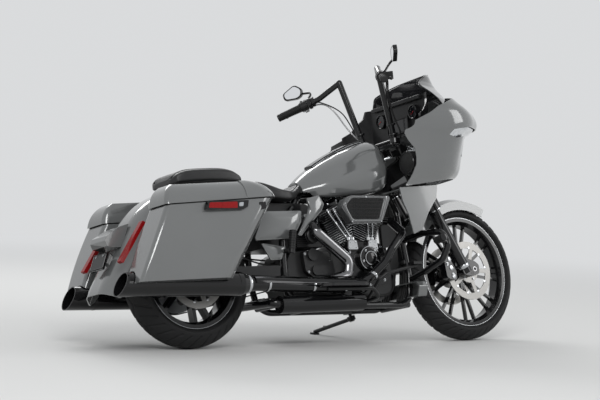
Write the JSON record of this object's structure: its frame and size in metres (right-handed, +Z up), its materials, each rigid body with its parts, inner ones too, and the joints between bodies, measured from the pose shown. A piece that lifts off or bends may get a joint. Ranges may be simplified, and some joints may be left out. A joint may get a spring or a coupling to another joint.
{
  "type": "touring cruiser motorcycle",
  "caption": "Touring cruiser motorcycle parked on its side stand: air-cooled V-twin, frame-mounted fairing, tall bars, hard panniers with hinged lids, low silencers and cast wheels.",
  "frame": {"origin": "middle of the parked machine's outline, on the ground it stands on", "axes": "+X forward along the machine, +Y to the rider's left, towards the side stand it leans on, +Z up"},
  "size_m": [2.4913, 1.0473, 1.4794],
  "materials": {
    "alloy": "cast",
    "belt_rubber": "matte",
    "black_gloss": "gloss",
    "black_plastic": "textured",
    "black_satin": "satin",
    "brushed": "brushed",
    "chrome": "polished",
    "dark_grey_paint": "gloss",
    "disc_steel": "ground",
    "engine_black": "wrinkle satin",
    "frame_black": "gloss",
    "grey_paint": "gloss",
    "grip_rubber": "matte",
    "lamp_clear": "clear",
    "lamp_red": "clear over red",
    "mirror_black": "gloss",
    "seat_vinyl": "grained",
    "smoked_screen": "gloss",
    "tyre_rubber": "matte"
  },
  "bodies": {
    "chassis": {"air_cleaner": "dark_grey_paint", "bag_lamps": "lamp_red", "cam_cover": "black_gloss", "chin_spoiler": "grey_paint", "crankcase": "engine_black", "dash_panel": "black_plastic", "drive_belt": "belt_rubber", "electrics_box": "black_plastic", "engine_guard": "black_gloss", "exhaust_pipes": "black_satin", "fairing_lowers": "dark_grey_paint", "fairing_outer": "grey_paint", "floorboards": "black_satin", "foot_controls": "black_satin", "frame": "frame_black", "front_cylinder": "engine_black", "fuel_tank": "grey_paint", "headlamp": "lamp_clear", "heat_shields": "brushed", "muffler_left": "black_satin", "muffler_right": "black_satin", "oil_cooler": "black_satin", "pillion_pad": "seat_vinyl", "plate_bracket": "dark_grey_paint", "primary_cover": "black_gloss", "pushrod_tubes": "chrome", "rear_caliper": "black_satin", "rear_cylinder": "engine_black", "rear_fender": "grey_paint", "rear_shocks": "black_satin", "rider_seat": "seat_vinyl", "rocker_boxes": "black_gloss", "saddlebag_left": "grey_paint", "saddlebag_right": "grey_paint", "side_covers": "grey_paint", "swingarm": "black_satin", "tail_lamps": "lamp_red", "tank_console": "black_gloss", "windscreen": "smoked_screen"},
    "steering": {"fork_yokes": "black_gloss", "fork_legs": "black_gloss", "front_axle": "brushed", "front_fender": "grey_paint", "front_calipers": "black_gloss", "handlebar": "black_gloss", "grips": "grip_rubber", "hand_controls": "black_satin", "mirrors": "mirror_black", "clutch_cable": "chrome"},
    "front_wheel": {"front_tyre": "tyre_rubber", "front_rim": "black_gloss", "front_discs": "disc_steel"},
    "rear_wheel": {"rear_tyre": "tyre_rubber", "rear_rim": "black_gloss", "rear_disc": "disc_steel", "rear_pulley": "alloy"},
    "side_stand": {"side_stand": "black_satin"},
    "bag_lid_left": {"bag_lid_left": "grey_paint"},
    "bag_lid_right": {"bag_lid_right": "grey_paint"},
    "fuel_door": {"fuel_door": "chrome"}
  },
  "joints": [
    {"name": "steering", "type": "hinge", "parent": "chassis", "child": "steering", "pos_m": [0.63525, 0.00978, 0.87746], "axis": [-0.4364, 0.1959, 0.8782], "range_deg": [-36.27, 23.73]},
    {"name": "front_wheel_spin", "type": "hinge", "parent": "steering", "child": "front_wheel", "pos_m": [0.90298, -0.11163, 0.33427], "axis": [-0.0988, 0.9597, -0.2632], "continuous": true},
    {"name": "rear_wheel_spin", "type": "hinge", "parent": "chassis", "child": "rear_wheel", "pos_m": [-0.72206, -0.1149, 0.32232], "axis": [-0.0005, 0.976, -0.218], "continuous": true},
    {"name": "side_stand_swing", "type": "hinge", "parent": "chassis", "child": "side_stand", "pos_m": [0.32198, 0.00658, 0.12066], "axis": [-0.1728, 0.412, 0.8947], "range_deg": [0, 90.2]},
    {"name": "bag_lid_left_open", "type": "hinge", "parent": "chassis", "child": "bag_lid_left", "pos_m": [-0.72507, 0.37904, 0.53826], "axis": [-0.9984, -0.0127, -0.0546], "range_deg": [0, 75]},
    {"name": "bag_lid_right_open", "type": "hinge", "parent": "chassis", "child": "bag_lid_right", "pos_m": [-0.72464, -0.47004, 0.72789], "axis": [0.9984, 0.0127, 0.0546], "range_deg": [0, 75]},
    {"name": "fuel_door_open", "type": "hinge", "parent": "chassis", "child": "fuel_door", "pos_m": [0.2159, 0.04396, 0.94893], "axis": [-0.9334, -0.0787, -0.3502], "range_deg": [0, 95]}
  ]
}
